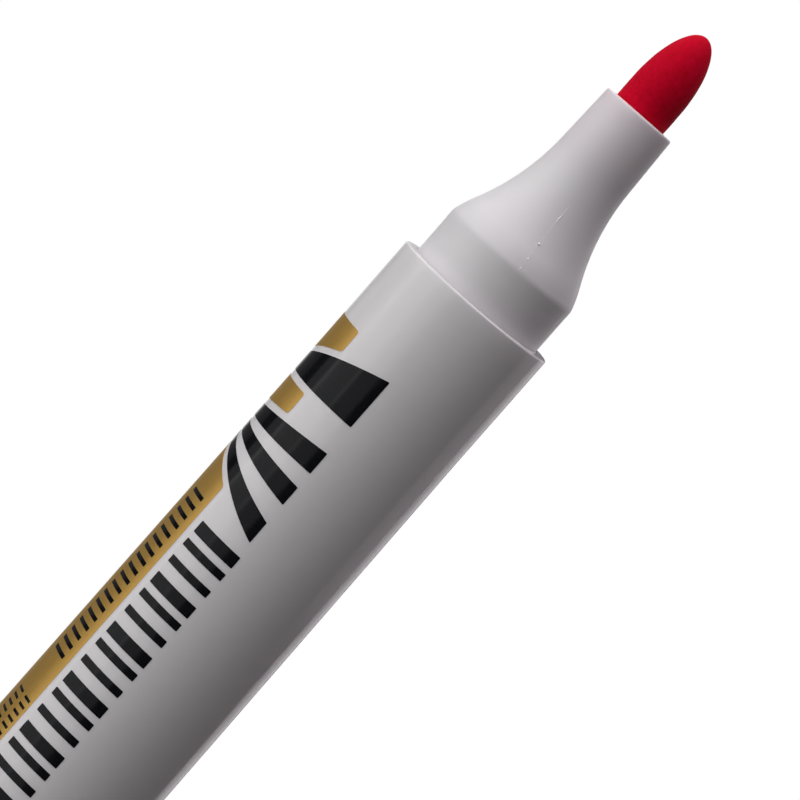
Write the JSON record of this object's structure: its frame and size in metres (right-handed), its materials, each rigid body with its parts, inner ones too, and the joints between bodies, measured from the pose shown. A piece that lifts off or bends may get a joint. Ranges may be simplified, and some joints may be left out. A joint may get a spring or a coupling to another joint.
{
  "type": "whiteboard marker",
  "caption": "Whiteboard marker with a bullet fibre nib, a white tapered barrel, a hollow-flared nose and a friction-fit cap posted on its tail.",
  "frame": {"origin": "centre of the cap's flat closed end, which the marker stands on", "axes": "+Z along the barrel from the posted cap to the nib; -Y is the side that the middle of the printed row faces"},
  "size_m": [0.0178, 0.0178, 0.1502],
  "materials": {
    "red_plastic": "moulded, glossy",
    "seal_plastic": "soft, satin",
    "white_plastic": "moulded, glossy",
    "nose_plastic": "moulded, satin",
    "nib_fibre": "pressed fibre, soaked in ink, matte",
    "reservoir_fibre": "fibre bundle, matte",
    "clear_film": "clear film",
    "tube_plastic": "extruded",
    "gold_ink": "printed film, satin",
    "black_ink": "printed film, glossy"
  },
  "bodies": {
    "cap": {"cap_shell": "red_plastic", "cap_inner_seal": "seal_plastic"},
    "marker": {"tail_plug": "red_plastic", "barrel": "white_plastic", "nose_section": "nose_plastic", "nib": "nib_fibre", "ink_reservoir": "reservoir_fibre", "reservoir_wrap": "clear_film", "breather_tube": "tube_plastic", "gold_print": "gold_ink", "black_print": "black_ink"}
  },
  "joints": [
    {"name": "cap_pull", "type": "slide", "parent": "cap", "child": "marker", "axis": [0, 0, 1], "range_m": [0, 0.03]}
  ]
}
